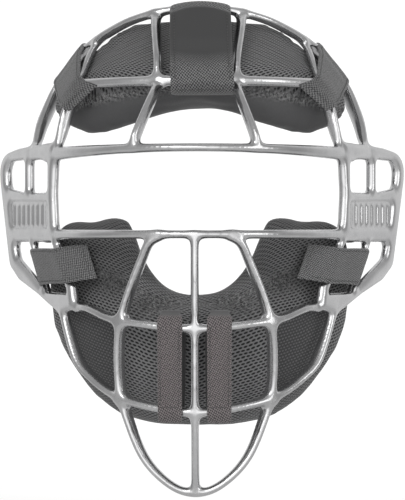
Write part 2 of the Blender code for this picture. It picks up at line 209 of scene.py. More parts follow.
# (how far round from in front of the mask to behind it, as 0 to 1; grey)
ROOM_TONES = [
    (0.0, 1.3), (0.03, 1.15), (0.08, 0.62), (0.2, 0.42), (0.5, 0.32), (0.64, 0.5), (0.76, 0.72), (0.9, 0.6),
    (0.96, 0.95), (1.0, 1.1),
]
FLOOR_HEIGHT = -0.26
FLOOR_RADIUS = 40.0
FLOOR_CORNERS = 64
FLOOR_TONE = 0.8
GLOW_START, GLOW_FULL = 0.35, 1.1


def turn_to(obj, direction):
    obj.rotation_mode = "QUATERNION"
    obj.rotation_quaternion = direction.to_track_quat("-Z", "Y")


def add_camera():
    """Level with a point well under the eyes, a little to the mask's right, as the photographer stood."""
    data = bpy.data.cameras.new("camera")
    half = LONG_SIDE_PIXELS / 2 * MM_PER_PIXEL / FOREMOST_DISTANCE
    data.sensor_width = SENSOR_WIDTH
    data.lens = data.sensor_width / 2 / half
    camera = linked("camera", data)
    aim = Vector(placed((AIM_X, EAR_DEPTH, 0)))
    back = Vector((math.sin(VIEW_TURN), -math.cos(VIEW_TURN), 0))
    camera.location = aim + back * (FOREMOST_DISTANCE + EAR_DEPTH) * MM
    turn_to(camera, -back)
    bpy.context.scene.camera = camera


def add_light(name, place, size, power):
    """A rectangular light that faces the frame's origin."""
    data = bpy.data.lights.new(name, "AREA")
    data.shape = "RECTANGLE"
    data.size, data.size_y = size
    data.energy = power
    light = linked(name, data)
    light.location = place
    turn_to(light, -Vector(place))


def room_tone(nodes, direction):
    """The room's grey in a direction: bright in front of the mask and behind it, dimmer at the sides."""
    forward = nodes.add("SeparateXYZ", {"Vector": direction}).outputs["Y"]
    share = nodes.mapped(forward, {"From Min": -1.0, "From Max": 1.0})
    return nodes.ramp(share, [(position, grey(level)) for position, level in ROOM_TONES])


def add_world():
    world = bpy.data.worlds.new("studio")
    world.use_nodes = True
    nodes = Nodes(world.node_tree)
    tone = room_tone(nodes, nodes.add("TexCoord").outputs["Generated"])
    nodes.put(nodes.all["Background"].inputs["Color"], tone)
    bpy.context.scene.world = world


def add_stage():
    """A pale floor that melts into the room further out."""
    turns = [2 * math.pi * k / FLOOR_CORNERS for k in range(FLOOR_CORNERS)]
    rim = [(FLOOR_RADIUS * math.cos(turn), FLOOR_RADIUS * math.sin(turn), FLOOR_HEIGHT) for turn in turns]
    mesh = bpy.data.meshes.new("floor")
    mesh.from_pydata(rim, [], [tuple(range(FLOOR_CORNERS))])
    paint, nodes, shader = new_material("floor", {"Base Color": grey(FLOOR_TONE), "Roughness": 0.9})
    place = nodes.place()
    glow = nodes.add("Emission", {"Color": room_tone(nodes, nodes.vector("NORMALIZE", {0: place}))})
    distance = nodes.vector("LENGTH", {0: place}, "Value")
    far = nodes.mapped(
        distance, {"From Min": GLOW_START, "From Max": GLOW_FULL}, interpolation_type="SMOOTHSTEP"
    )
    both = nodes.add("MixShader", {"Fac": far, 1: shader.outputs["BSDF"], 2: glow.outputs["Emission"]})
    nodes.put(nodes.all["Material Output"].inputs["Surface"], both.outputs["Shader"])
    mesh.materials.append(paint)
    linked("floor", mesh)


# ---------------------------------------------------------------- cage

FRONT_POST_X = 75.8
FRONT_POST_DEPTH = 55
PLAN_POWER = 2.2
EAR_SLOPE = 1.57
HALF_WIDTH = 2.1
HALF_DEPTH = 3.7
BROW_HEIGHT = 88
BROW_DEPTH = 30
BROW_END_X = 64
BROW_END_DEPTH = 58

# spacing of the grid that the casting is worked out on
GRID = 0.9
T_TRIM = 2.5
FILLET = 1.35
REACH = 11.0
# stands for "nowhere near" in the field's own measure, which is -1 at a bar's middle and 0 at its surface
FAR = 9.0
SECTION_POWER = 2.2
LOW_CORNER = (0.0, -7.0, -132.0)
HIGH_CORNER = (116.0, 122.0, 138.0)


def plan_depth(x):
    x = abs(x)
    if x > FRONT_POST_X:
        return FRONT_POST_DEPTH + EAR_SLOPE * (x - FRONT_POST_X)
    return FRONT_POST_DEPTH * (x / FRONT_POST_X) ** PLAN_POWER


def brow_depth(x):
    rise = BROW_END_DEPTH - BROW_DEPTH
    return BROW_DEPTH + rise * (abs(x) / BROW_END_X) ** PLAN_POWER


def outward(points):
    """Directions out of the cage, square to its plan curve."""
    x = points[:, 0]
    reach = np.minimum(np.abs(x) / FRONT_POST_X, 1.0)
    slope = EAR_SLOPE * reach ** (PLAN_POWER - 1)
    out = np.stack([np.sign(x) * slope, -np.ones_like(x), np.zeros_like(x)], axis=1)
    return out / np.linalg.norm(out, axis=1, keepdims=True)


def smooth_path(points, step=1.5):
    """Rows about one step apart along a Catmull-Rom curve through the given rows."""
    points = np.asarray(points, float)
    ends = np.vstack([points[0] * 2 - points[1], points, points[-1] * 2 - points[-2]])
    path = [points[0]]
    for before, start, end, after in zip(ends, ends[1:], ends[2:], ends[3:]):
        count = max(1, round(float(np.linalg.norm((end - start)[:3])) / step))
        for i in range(1, count + 1):
            t = i / count
            path.append(
                start
                + 0.5 * t * (end - before)
                + t * t * (before - 2.5 * start + 2 * end - 0.5 * after)
                + t * t * t * 0.5 * (3 * start - before - 3 * end + after)
            )
    return np.array(path)


CROWN_END = (63, 95, 109)
CROWN_JOINT = (23.3, 64, 126.2)
BRACE_JOINT = (56.5, 87, 113)
BROW_JOINT = (20.3, 32.3, BROW_HEIGHT)
BROW_END = (BROW_END_X, BROW_END_DEPTH, BROW_HEIGHT)
CHEEK_JOINT = (38.3, 12.3, -36.5)
JAW_JOINT = (38.3, 18, -76.5)
CHIN_CENTRE = (0, 1.5, -40)
LOWER_CHIN_CENTRE = (0, 5, -82.8)
THROAT_CENTRE = (0, 12, -124.2)


def across(points):
    """A bar right across the cage, from the points of its right half: it starts a little past the middle."""
    mirrored = [(-row[0], *row[1:]) for row in points[2:0:-1]]
    return mirrored + list(points)


def eye_bar(height_centre, height_side, half_width):
    """Rows of (x, depth, height, half width, half depth) along an eye bar, which broadens towards the ear."""
    rows = []
    for x in (0, 12, 24, 36, 46, 56, 64, 70, 76, 80):
        share = (x / FRONT_POST_X) ** 2
        height = height_centre + (height_side - height_centre) * share
        width = HALF_WIDTH + (half_width - HALF_WIDTH) * share
        rows.append((x, plan_depth(x), height, width, HALF_DEPTH - share))
    return across(rows)


def even(points, half_width=HALF_WIDTH, half_depth=HALF_DEPTH, trim=(0, 0)):
    """A bar with one section all along. A trim stops it short of the middle of the bar that it meets."""
    points = [np.array(point, float) for point in points]
    for end, ahead, cut in ((0, 1, trim[0]), (-1, -2, trim[1])):
        step = points[ahead] - points[end]
        points[end] = points[end] + step * (cut / np.linalg.norm(step))
    return [(*point, half_width, half_depth) for point in points]


def tapered(points):
    """A bar that thins out over its last stretch, where it runs into the ear guard."""
    rows = even(points)
    shares = [1.0] * (len(rows) - 2) + [0.9, 0.62]
    return [(*row[:4], row[4] * share) for row, share in zip(rows, shares)]


def cage_bars():
    """Every cast bar of the right half, as rows of (x, depth, height, half width, half depth)."""
    crown = [
        (0, 62, 128.5), (12, 62.5, 128), CROWN_JOINT, (37, 70, 122.5),
        (49.6, 80, 117), BRACE_JOINT, CROWN_END,
    ]
    brow = [(x, brow_depth(x), BROW_HEIGHT) for x in (0, 10, 20.3, 30, 40, 50, 58, BROW_END_X)]
    throat = [THROAT_CENTRE, (8, 12.3, -122.8), (16.4, 13, -117.5), (24.5, 14, -109), (30.5, 15.5, -98)]
    throat.append(JAW_JOINT)
    centre = [(0, 0, 8), (0, 0, -10), (0, 1, -28), CHIN_CENTRE, (0, 3, -60), LOWER_CHIN_CENTRE, (0, 8, -104)]
    centre.append(THROAT_CENTRE)
    return [
        across(even(crown)),
        across(even(brow, 2.7, 3.3)),
        tapered([
            CROWN_END, (70.8, 100.5, 99.5), (78.2, 101.5, 88.5), (83, 95.5, 77), (86.4, 86, 66),
            (88.6, 76, 52),
        ]),
        even([CROWN_JOINT, (21.8, 49, 112), (20.4, 37, 99), BROW_JOINT], trim=(T_TRIM, 0)),
        even([BROW_JOINT, (22.3, 24, 80), (26, 15, 70), (30, 8, 59), (31.8, 8, 52)], trim=(0, T_TRIM)),
        even([BRACE_JOINT, (60, 76, 103), (62.5, 66, 94), BROW_END], 1.7, 2.0, trim=(1, 0)),
        tapered([BROW_END, (67, 57.5, 81), (69.8, 56, 72), (72.2, 54.5, 62), (74.8, 54.5, 52)]),
        eye_bar(52, 51, 3.6),
        eye_bar(8, 8, 2.8),
        even([(18, 2.5, 7.5), (23.5, 4, 3), (27.5, 6.5, -6), (33, 9.5, -20), CHEEK_JOINT], trim=(1, 0)),
        tapered([CHEEK_JOINT, (45.3, 18, -34.6), (51.4, 24, -32), (57, 30, -30), (62, 35.5, -30)]),
        across(even([CHIN_CENTRE, (10, 2, -39.7), (19.3, 4, -38.8), (29, 7.5, -37.6), CHEEK_JOINT])),
        even([CHEEK_JOINT, (39.3, 15, -50), (39.3, 17, -63), JAW_JOINT]),
        across(even([LOWER_CHIN_CENTRE, (10, 6, -82), (18, 8, -80.9), (28, 12, -79), JAW_JOINT])),
        tapered([
            JAW_JOINT, (46, 24.5, -72.5), (53.5, 31, -67), (61, 37, -59.5), (66, 42, -48), (72, 48.5, -29),
        ]),
        across(even(throat)),
        even(centre, trim=(T_TRIM, T_TRIM)),
    ]


def rounded(corners, segments=6):
    """The outline through (u, v, radius) corners, with an arc of the given radius at each."""
    outline = []
    count = len(corners)
    for i, (u, v, radius) in enumerate(corners):
        corner = Vector((u, v))
        back = (Vector(corners[i - 1][:2]) - corner).normalized()
        ahead = (Vector(corners[(i + 1) % count][:2]) - corner).normalized()
        half = math.acos(max(-1, min(1, back.dot(ahead)))) / 2
        reach = radius / math.tan(half)
        middle = corner + (back + ahead).normalized() * (radius / math.sin(half))
        start = corner + back * reach - middle
        sweep = start.angle_signed(corner + ahead * reach - middle)
        for k in range(segments + 1):
            turn = -sweep * k / segments
            outline.append((
                middle.x + start.x * math.cos(turn) - start.y * math.sin(turn),
                middle.y + start.x * math.sin(turn) + start.y * math.cos(turn),
            ))
    return np.array(outline)


# (u, v, corner radius): u runs back along the ear guard from its front post, v is height
EAR_OUTLINE = [
    (-1.5, 56.5, 1.5), (25, 56, 20), (42, 55, 20), (52, 53.6, 8), (64, 51, 11), (62.8, 38, 30),
    (56.8, 14, 30), (51, -8.6, 8), (40, -16.2, 8), (18.4, -23.3, 30), (4.2, -29, 12), (-8, -33.5, 12),
    (-24, -30.5, 2), (-21.6, -19, 1), (-3.5, 3.5, 3), (-1.5, 12, 8), (0.2, 30, 30), (-1.4, 47, 6),
]
EAR_WINDOWS = {
    "rear": [(32.5, 49, 3.5), (56.5, 48.5, 7), (54.5, 33.5, 5), (32.5, 30.5, 3)],
    "front": [(5.6, 48, 3.5), (28.1, 49, 3.5), (28.1, 30.5, 3.5), (5.9, 30.5, 3.5)],
    "web": [(6.2, 25.5, 2), (50.5, 26.5, 3), (47.5, 12, 4), (6.2, 11.5, 2)],
    "lower_rear": [(27.5, 4.5, 2), (46.5, 4.5, 3), (43, -4.5, 6), (30, -11.2, 4), (10.5, -21.8, 1)],
    "lower_front": [(1.2, 4.5, 2), (24.7, 4.5, 2), (7.8, -22.6, 2), (-17, -22.6, 1)],
}
PANEL_HALF = 2.9
PANEL_EDGE = 3.4
PANEL_GROWTH = 0.3
WEB_HALF = 1.4
WEB_START, WEB_END, WEB_RIBS = 7.2, 46.0, 6
WEB_RIB_HEIGHT = 0.8
WEB_RIB_LOW, WEB_RIB_HIGH = 13.4, 24.4
ALONG = np.array((1.0, EAR_SLOPE)) / math.hypot(1.0, EAR_SLOPE)


def line_distance(u, v, corners):
    """Distance of each (u, v) from the line through some corners."""
    best = np.full(u.shape, np.inf)
    for start, end in zip(corners, corners[1:]):
        step = end - start
        du, dv = u - start[0], v - start[1]
        t = np.clip((du * step[0] + dv * step[1]) / max(step @ step, 1e-12), 0, 1)
        best = np.minimum(best, np.hypot(du - t * step[0], dv - t * step[1]))
    return best


def polygon_distance(u, v, outline):
    """Signed distance from each (u, v) to a closed outline, negative inside."""
    closed = np.vstack([outline, outline[:1]])
    inside = np.zeros(u.shape, bool)
    for (u0, v0), (u1, v1) in zip(closed, closed[1:]):
        if v0 != v1:
            inside ^= ((v0 > v) != (v1 > v)) & (u < u0 + (v - v0) * (u1 - u0) / (v1 - v0))
    return np.where(inside, -1, 1) * line_distance(u, v, closed)


class Field:
    """The cage's right half as an implicit solid on a grid, negative inside."""

    def __init__(self):
        size = [int(math.ceil((high - low) / GRID)) + 1 for low, high in zip(LOW_CORNER, HIGH_CORNER)]
        self.low, self.size = np.array(LOW_CORNER), size
        # sums over the bars of a weight, and of that weight times each bar's offset, depth and width
        self.sums = np.zeros([4, *size], np.float32)
        self.plate = np.full(size, FAR, np.float32)

    def window(self, low, high):
        """Slices of the grid that cover a box, and the box's grid coordinates."""
        first = np.maximum(0, np.floor((low - self.low) / GRID)).astype(int)
        last = np.minimum(self.size, np.ceil((high - self.low) / GRID) + 1).astype(int)
        if (last <= first).any():
            return None, None
        slices = tuple(slice(a, b) for a, b in zip(first, last))
        axes = [self.low[i] + GRID * np.arange(first[i], last[i]) for i in range(3)]
        return slices, np.meshgrid(*axes, indexing="ij", sparse=True)

    def add(self, slices, lateral, *values):
        weight = np.exp(-lateral / FILLET)
        for total, value in zip(self.sums, (1, *values)):
            total[slices] += weight * value

    def add_bar(self, rows):
        rows = smooth_path(rows)
        path, widths, depths = rows[:, :3], rows[:, 3], rows[:, 4]
        along = np.gradient(path, axis=0)
        along /= np.linalg.norm(along, axis=1, keepdims=True)
        out = outward(path)
        out -= along * (out * along).sum(axis=1, keepdims=True)
        out /= np.linalg.norm(out, axis=1, keepdims=True)
        slices, _ = self.window(path.min(axis=0) - REACH, path.max(axis=0) + REACH)
        corner = np.array([s.start for s in slices])
        shape = [s.stop - s.start for s in slices]
        nearest = np.full(shape, 1e9, np.float32)
        lateral = np.full(shape, 99.0, np.float32)
        found = [np.zeros(shape, np.float32) for _ in range(3)]
        for i in range(len(path) - 1):
            start, end = path[i], path[i + 1]
            part, grid = self.window(np.minimum(start, end) - REACH, np.maximum(start, end) + REACH)
            if part is None:
                continue
            step = end - start
            rest = [grid[k] - start[k] for k in range(3)]
            t = sum(rest[k] * step[k] for k in range(3)) / (step @ step)
            t = np.clip(t, 0, 1)
            rest = [rest[k] - t * step[k] for k in range(3)]
            square = sum(r * r for r in rest)
            facing = out[i] + out[i + 1]
            facing /= np.linalg.norm(facing)
            offset = sum(rest[k] * facing[k] for k in range(3))
            width = widths[i] + t * (widths[i + 1] - widths[i])
            depth = depths[i] + t * (depths[i + 1] - depths[i])
            side = np.sqrt(np.maximum(square - offset * offset, 0)) - width
            local = tuple(slice(s.start - c, s.stop - c) for s, c in zip(part, corner))
            closer = square < nearest[local]
            nearest[local] = np.where(closer, square, nearest[local])
            lateral[local] = np.where(closer, side, lateral[local])
            for kept, new in zip(found, (offset, depth, width)):
                kept[local] = np.where(closer, new, kept[local])
        self.add(slices, lateral, *found)

    def add_ear_guard(self):
        """The flat ear guard, with its windows, and the thin ribbed plate in its middle window."""
        low = np.array((FRONT_POST_X - 24, FRONT_POST_DEPTH - 34, -40.0))
        high = np.array((FRONT_POST_X + 38, FRONT_POST_DEPTH + 60, 62.0))
        slices, grid = self.window(low, high)
        x, depth = grid[0] - FRONT_POST_X, grid[1] - FRONT_POST_DEPTH
        u = x * ALONG[0] + depth * ALONG[1]
        w = x * ALONG[1] - depth * ALONG[0]
        u, w, v = np.broadcast_arrays(u, w, grid[2] + 0 * u)
        near = (np.abs(w) < REACH) & (u > -24 - REACH) & (u < 62 + REACH)
        uu, vv, ww = u[near], v[near], w[near]
        flat = polygon_distance(uu, vv, rounded(EAR_OUTLINE))
        plate = None
        for name, corners in EAR_WINDOWS.items():
            window = polygon_distance(uu, vv, rounded(corners))
            flat = np.maximum(flat, -window)
            if name == "web":
                plate = window
        lateral = np.full(u.shape, 99.0)
        lateral[near] = flat
        self.add(slices, lateral - PANEL_GROWTH, w, PANEL_HALF, PANEL_EDGE)
        pitch = (WEB_END - WEB_START) / (WEB_RIBS + 1)
        count = (uu - WEB_START) / pitch
        beside_rib = np.abs(count - np.round(count)) * pitch
        rib = np.clip(1.6 - beside_rib / 0.8, 0, 1) * (vv > WEB_RIB_LOW) * (vv < WEB_RIB_HIGH)
        half = np.where(ww > 0, WEB_HALF + WEB_RIB_HEIGHT * rib, WEB_HALF)
        solid = np.full(u.shape, FAR)
        solid[near] = np.maximum(np.abs(ww) - half, plate - 1.5) / PANEL_EDGE
        self.plate[slices] = np.minimum(self.plate[slices], solid)

    def values(self):
        """Negative inside the casting: a rounded section, blended where bars meet."""
        weight = np.maximum(self.sums[0], 1e-9)
        offset, depth, width = self.sums[1:] / weight
        lateral = -FILLET * np.log(weight)
        across_share = np.maximum(0, 1 + lateral / np.maximum(width, 1.0))
        out_share = np.abs(offset) / np.maximum(depth, 1.0)
        section = (across_share ** SECTION_POWER + out_share ** SECTION_POWER) ** (1 / SECTION_POWER) - 1
        return np.minimum(np.minimum(section, FAR), self.plate)


def surface_net(values, low):
    """Vertices and quads of the zero surface of a grid of values, each vertex pulled onto it."""
    inside = values < 0
    count = np.zeros([n - 1 for n in values.shape], np.int8)
    corners = [(i, j, k) for i in (0, 1) for j in (0, 1) for k in (0, 1)]
    for i, j, k in corners:
        count += inside[i:i + count.shape[0], j:j + count.shape[1], k:k + count.shape[2]]
    cells = np.argwhere((count > 0) & (count < 8))
    number = np.full(count.shape, -1, np.int32)
    number[tuple(cells.T)] = np.arange(len(cells))
    total = np.zeros((len(cells), 3))
    hits = np.zeros(len(cells))
    for a in corners:
        for axis in range(3):
            if a[axis]:
                continue
            b = list(a)
            b[axis] = 1
            start = values[tuple((cells + a).T)]
            end = values[tuple((cells + b).T)]
            crossed = (start < 0) != (end < 0)
            share = np.where(crossed, start / np.where(crossed, start - end, 1), 0)
            spot = np.array(a, float)[None, :].repeat(len(cells), axis=0)
            spot[:, axis] += share
            total += spot * crossed[:, None]
            hits += crossed
    points = cells + total / hits[:, None]
    quads = []
    for axis in range(3):
        one, two = [k for k in range(3) if k != axis]
        first = np.moveaxis(inside, axis, 0)
        change = first[:-1] != first[1:]
        spots = np.argwhere(np.moveaxis(change, 0, axis))
        spots = spots[(spots[:, one] > 0) & (spots[:, two] > 0)]
        spots = spots[(spots[:, one] < count.shape[one]) & (spots[:, two] < count.shape[two])]
        ring = []
        for shift in ((0, 0), (1, 0), (1, 1), (0, 1)):
            cell = spots.copy()
            cell[:, one] -= shift[0]
            cell[:, two] -= shift[1]
            ring.append(number[tuple(cell.T)])
        ring = np.stack(ring, axis=1)
        leaving = inside[tuple(spots.T)]
        if axis == 1:
            leaving = ~leaving
        ring[~leaving] = ring[~leaving][:, ::-1]
        quads.append(ring)

    def sample(at):
        base = np.clip(np.floor(at).astype(int), 0, np.array(values.shape) - 2)
        part = at - base
        result = 0
        for i, j, k in corners:
            share = np.prod(np.where((i, j, k), part, 1 - part), axis=1)
            result = result + share * values[tuple((base + (i, j, k)).T)]
        return result

    for _ in range(2):
        here = sample(points)
        slope = np.stack([sample(points + step) - sample(points - step) for step in 0.5 * np.eye(3)], axis=1)
        steep = np.maximum((slope * slope).sum(axis=1), 1e-4)
        move = slope * (here / steep)[:, None]
        length = np.maximum(np.linalg.norm(move, axis=1, keepdims=True), 1e-9)
        points = points - move * np.minimum(1, 0.4 / length)
    return low + points * GRID, np.vstack(quads)


def cage_mesh():
    field = Field()
    for rows in cage_bars():
        field.add_bar(rows)
    field.add_ear_guard()
    half = field.values()
    whole = np.concatenate([half[:0:-1], half], axis=0)
    low = field.low.copy()
    low[0] = -GRID * (half.shape[0] - 1)
    points, quads = surface_net(whole, low)
    return placed(points), quads


CAST_NODES = (
    "brow_post", "cheek_bar", "chin_post", "crown_post", "ear_guard", "ear_web", "front_leg", "jaw_bar",
    "lower_chin_bar", "rear_leg", "temple_brace", "upper_chin_bar", "v_bar",
)
SINGLE_CAST_NODES = (
    "centre_bar", "crown_bar", "forehead_bar", "lower_eye_bar", "throat_guard", "upper_eye_bar",
)


def add_cage(metal):
    points, quads = cage_mesh()
    mesh = bpy.data.meshes.new("cage_casting")
    mesh.from_pydata([tuple(p) for p in points], [], [tuple(q) for q in quads])
    mesh.validate()
    mesh.shade_smooth()
    mesh.materials.append(metal)
    cage = linked("cage_casting", mesh)
    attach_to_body(cage, "mask")
    for name in CAST_NODES:
        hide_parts(f"{name}_left", f"{name}_right")
    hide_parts(*SINGLE_CAST_NODES)


# ---------------------------------------------------------------- pads

FOREHEAD_HALF = 77.0
VOXEL = 0.0045
SIM_FRAMES = 20
CLOTH_SETTINGS = {
    "quality": 6, "mass": 0.25, "tension_stiffness": 18, "compression_stiffness": 12,
    "bending_stiffness": 0.4, "use_pressure": True, "uniform_pressure_force": 4.0,
}
SWELL_CAP = 0.006
# how far the cushion's first shape stays inside its outline, to leave room for the swelling
PUFF = 0.6
# points round one section
AROUND = 28
MIN_THICKNESS = 9.5


def forehead_front(x, height):
    """Depth of the forehead pad's front: behind the forehead bar, then leaning back to the crown bar."""
    reach = min(1.1, abs(x) / 60) ** 3
    lean = 0.42 * max(0.0, height - 90 + 6 * reach) ** 1.25 * (1 + 1.3 * reach)
    front = 36.0 + 27.0 * (abs(x) / 64) ** 2.1 + lean
    return min(front, forehead_back(x, height) - MIN_THICKNESS)


def forehead_back(x, height):
    return 66.0 + 24.0 * (abs(x) / 66) ** 2.0 + max(0.0, height - 80) * 0.34


def forehead_rows(x):
    """Lower and upper height of the forehead pad at x."""
    reach = min(1.0, abs(x) / 74)
    low = 73.5 - 11.5 * math.sin(min(1, reach / 0.8) * math.pi / 2) ** 2
    low += 5.0 * max(0, reach - 0.85) / 0.15
    high = 122.0 - 0.0036 * x * x - 14.0 * (max(0, reach - 0.7) / 0.3) ** 1.6
    return low, high


def chin_front(x, height):
    return 19.5 + 45.5 * (abs(x) / 77) ** 2.0 + 0.05 * max(0.0, -60 - height)


def chin_back(x, height):
    return 50.0 + 44.0 * (abs(x) / 80) ** 1.6 + 10.0 * max(0.0, (-40 - height) / 50)


CHIN_INNER = [
    (0, -18.6), (10, -17.4), (20, -11), (26.5, -4), (31.5, 3.2), (36, 12), (42, 19.5), (50, 18.6), (58, 16),
    (65, 18), (72, 15.5),
]
CHIN_OUTER = [
    (0, -92.6), (18, -92.6), (32, -91), (43, -87), (55, -78.5), (65, -66.5), (73, -54), (78, -41),
    (80.6, -26), (81.5, -12), (80, 6),
]


def forehead_spine():
    """(lower edge, upper edge, share of full thickness) at stations across the forehead pad."""
    stations = []
    half = FOREHEAD_HALF
    for i in range(41):
        x = half * math.sin(math.pi / 2 * (i / 20 - 1))
        low, high = forehead_rows(x)
        low -= 2.4
        high += 6.5 + 3.0 * math.exp(-((abs(x) - 36) / 13) ** 2) - 5.0 * (abs(x) / half) ** 4
        swell = (1 - min(1, abs(x) / (half + 0.2)) ** 7) ** (1 / 3)
        middle, reach = (low + high) / 2, (high - low) / 2 * (0.35 + 0.65 * swell)
        stations.append(((x, middle - reach), (x, middle + reach), swell))
    return stations


def chin_spine():
    """(outer edge, inner edge, share of full thickness) at stations round the chin pad's U."""
    half = np.hstack([smooth_row(CHIN_INNER), smooth_row(CHIN_OUTER)])
    left = half[:0:-1] * (-1, 1, -1, 1)
    stations = []
    rows = np.vstack([left, half])
    for i, row in enumerate(rows):
        reach = abs(2 * i / (len(rows) - 1) - 1)
        swell = max(0.0, 1 - reach ** 9) ** (1 / 3)
        inner, outer = row[:2], row[2:]
        middle = (inner + outer) / 2
        share = 0.4 + 0.6 * swell
        stations.append((middle + (outer - middle) * share, middle + (inner - middle) * share, swell))
    return stations


def smooth_row(points, count=40):
    """The points' own smooth curve, as a given number of rows."""
    path = smooth_path([(x, z, 0) for x, z in points], 1.0)[:, :2]
    picks = np.linspace(0, len(path) - 1, count).round().astype(int)
    return path[picks]


def rounder(value, power):
    """A cosine or sine pushed towards -1 or 1, which makes a circle into a rounded square."""
    return math.copysign(abs(value) ** power, value)


def cushion_points(stations, front, back):
    """The points of a cushion's rounded sections, one section for each station, in millimetres."""
    points = []
    for (ax, az), (bx, bz), swell in stations:
        reach = math.hypot(bx - ax, bz - az) / 2
        share = max(0.3, 1 - PUFF / max(reach, 1))
        for k in range(AROUND):
            turn = 2 * math.pi * k / AROUND
            out = rounder(math.cos(turn), 0.62)
            up = rounder(math.sin(turn), 0.72) * share
            x = (ax + bx) / 2 + up * (bx - ax) / 2
            height = (az + bz) / 2 + up * (bz - az) / 2
            near, far = front(x, height), back(x, height)
            thick = max(1.5, (far - near) / 2 - PUFF) * (0.3 + 0.7 * swell)
            points.append((x, (near + far) / 2 - out * thick, height))
    return points


def applied(obj):
    """Replaces the object's mesh by what its modifiers make of it."""
    graph = bpy.context.evaluated_depsgraph_get()
    made = bpy.data.meshes.new_from_object(obj.evaluated_get(graph))
    obj.modifiers.clear()
    obj.data = made


def coordinates(mesh):
    co = np.empty(len(mesh.vertices) * 3, np.float32)
    mesh.vertices.foreach_get("co", co)
    return co.reshape(-1, 3).astype(float)


def set_coordinates(mesh, co):
    mesh.vertices.foreach_set("co", co.astype(np.float32).ravel())
    mesh.update()


def inflate(obj):
    """Fills a remeshed cushion with air as cloth, and keeps how far each point moved within a cap."""
    rest = coordinates(obj.data)
    cloth = obj.modifiers.new("cloth", "CLOTH")
    for name, value in CLOTH_SETTINGS.items():
        setattr(cloth.settings, name, value)
    cloth.settings.effector_weights.gravity = 0
    cloth.point_cache.frame_start = 1
    cloth.point_cache.frame_end = SIM_FRAMES
    for step in range(1, SIM_FRAMES + 1):
        bpy.context.scene.frame_set(step)
    applied(obj)
    moved = coordinates(obj.data) - rest
    length = np.maximum(np.linalg.norm(moved, axis=1, keepdims=True), 1e-9)
    set_coordinates(obj.data, rest + moved * np.minimum(1, SWELL_CAP / length))
    bpy.context.scene.frame_set(1)


def weave_coordinates(obj, centre_depth):
    """Stores (distance round the face, depth, height) at each point, and returns the points."""
    co = coordinates(obj.data) / MM + (0, FACE_DEPTH, EYE_LINE)
    across_ = np.abs(co[:, 0])
    x = np.linspace(0, 120, 241)
    depth = np.array([centre_depth(value) for value in x])
    run = np.concatenate([[0], np.cumsum(np.hypot(np.diff(x), np.diff(depth)))])
    along = np.sign(co[:, 0]) * np.interp(across_, x, run)
    store(obj, "weave", np.stack([along, co[:, 1] - np.interp(across_, x, depth), co[:, 2]], axis=1))
    return co


def store(obj, name, values):
    """Stores a number or a vector at each point, for the material to read."""
    values = np.asarray(values, np.float32)
    kind, field = ("FLOAT_VECTOR", "vector") if values.ndim == 2 else ("FLOAT", "value")
    obj.data.attributes.new(name, kind, "POINT").data.foreach_set(field, values.ravel())


def cushion(name, stations, front, back):
    faces = tube_faces(len(stations), AROUND)
    obj = linked(name, closed_mesh(name, cushion_points(stations, front, back), faces))
    remesh = obj.modifiers.new("remesh", "REMESH")
    remesh.mode = "VOXEL"
    remesh.voxel_size = VOXEL
    applied(obj)
    inflate(obj)
    smooth = obj.modifiers.new("smooth", "SMOOTH")
    smooth.factor = 0.5
    smooth.iterations = 2
    divide = obj.modifiers.new("divide", "SUBSURF")
    divide.levels = 1
    divide.render_levels = 1
    applied(obj)
    obj.data.shade_smooth()
    return obj


def noise_wave(points, seed, scale):
    """A smooth repeatable wobble of about -1 to 1, from a few crossed waves."""
    rng = np.random.default_rng(seed)
    total = np.zeros(len(points))
    for _ in range(6):
        direction = rng.normal(size=3)
        direction /= np.linalg.norm(direction)
        turns = points @ direction * rng.uniform(0.6, 1.6) / scale
        total += np.sin(turns * 2 * math.pi + rng.uniform(0, 6.28))
    return total / 6


def displace(obj, amounts):
    """Moves each point along its normal by an amount in metres."""
    normals = np.empty(len(obj.data.vertices) * 3, np.float32)
    obj.data.vertices.foreach_get("normal", normals)
    set_coordinates(obj.data, coordinates(obj.data) + normals.reshape(-1, 3) * np.asarray(amounts)[:, None])


# (x, height) corners of the chin pad's fine side panel, behind the jaw bar, cheek bar and chin post
SIDE_PANEL = [
    (39, -38), (39, -76), (46, -72.5), (54, -66), (61, -58.5), (66, -46), (71, -31), (60, -27), (51, -32.5),
]
FOREHEAD_SEAM = 82.5
# (x, height) along the chin pad's seam, which its loose mesh puckers against
CHIN_SEAM = [
    (0, -27.5), (9, -27), (17, -26), (26, -22.5), (34, -19.5), (42, -15.5), (50, -11.5), (56, -8), (62, -1),
]
# (x, height, half width, half height) of each pucker
PUCKERS = [(22, -28, 10, 5.5), (44, -17, 9, 5.5)]


def soft_step(values, width):
    return np.clip(np.asarray(values) / width + 0.5, 0, 1)


def bell(values, width):
    """1 at 0, falling away over about a width."""
    return np.exp(-(values / width) ** 2)


def dress(obj, material, nodes, marks):
    """Gives a cushion its material, what the material follows at each point, and its place in the frame."""
    for name, values in marks.items():
        store(obj, name, values)
    obj.data.materials.append(material)
    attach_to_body(obj, "mask")
    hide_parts(f"{nodes}_cover", f"{nodes}_foam", f"{nodes}_liner")


